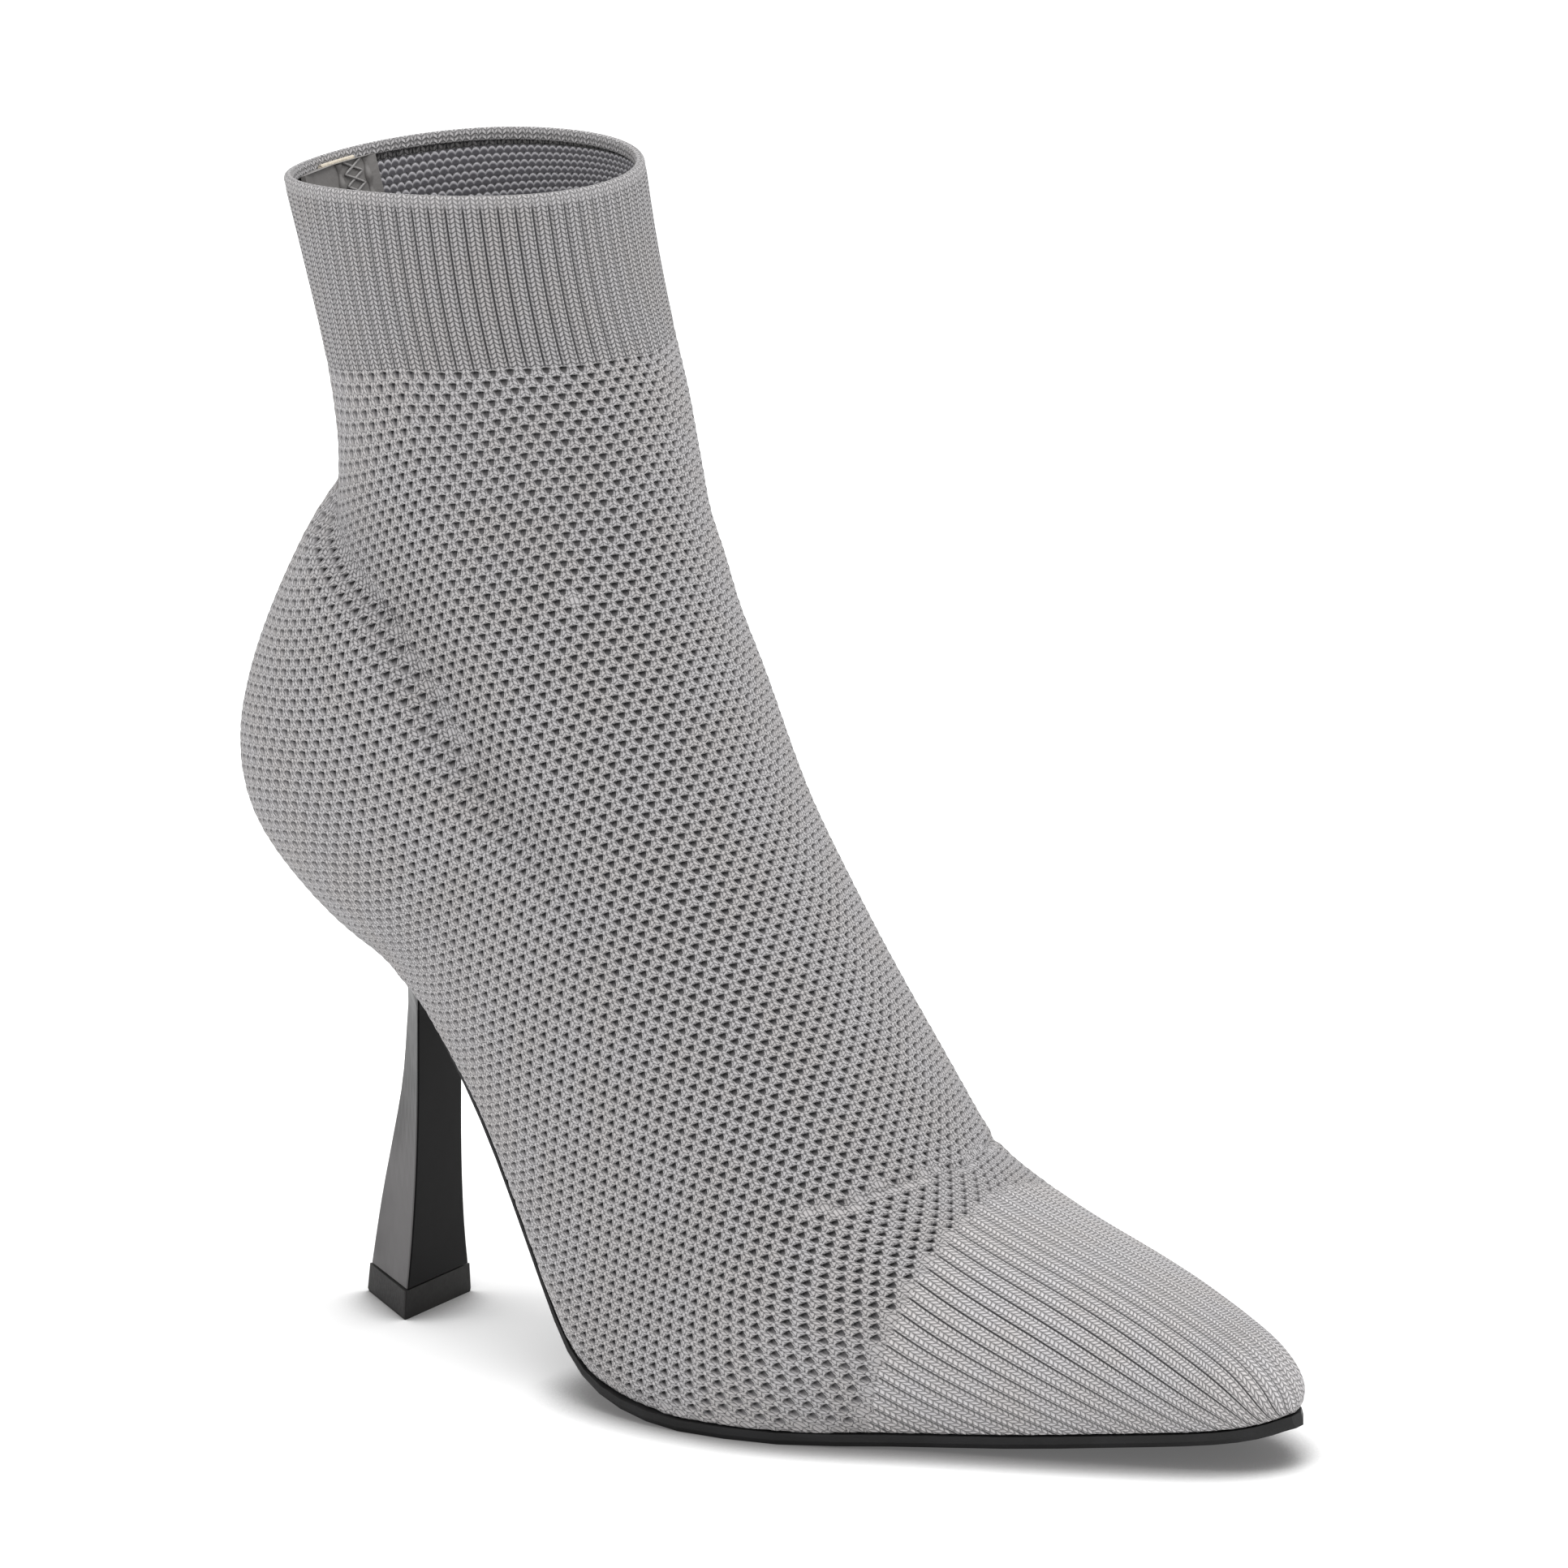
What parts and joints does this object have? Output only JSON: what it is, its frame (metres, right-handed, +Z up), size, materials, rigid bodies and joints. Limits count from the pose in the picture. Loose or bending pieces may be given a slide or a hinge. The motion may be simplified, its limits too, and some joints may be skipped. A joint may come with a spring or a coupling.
{
  "type": "sweater boot",
  "caption": "Women's pointed-toe ankle boot with a knitted sock upper: ribbed cuff, open-mesh body, ribbed toe, thin outsole and a flared stiletto heel.",
  "frame": {"origin": "on the floor under the ball of the foot, at the flat spot of the outsole, midway across the heel", "axes": "+X toward the toe, +Y toward the inner side of the foot, +Z up"},
  "size_m": [0.2321, 0.0766, 0.2316],
  "materials": {
    "knit": "matte light grey yarn with darker stitch gaps",
    "sole": "matte black with a fine tread line",
    "lining": "smooth grey sock lining",
    "heel": "satin black",
    "top_piece": "matte black",
    "stay": "smooth grey with a cream cut edge"
  },
  "bodies": {
    "root": {"upper_knit": "knit", "outsole": "sole", "insole": "lining", "heel": "heel", "heel_top_piece": "top_piece", "back_stay": "stay"}
  },
  "joints": []
}
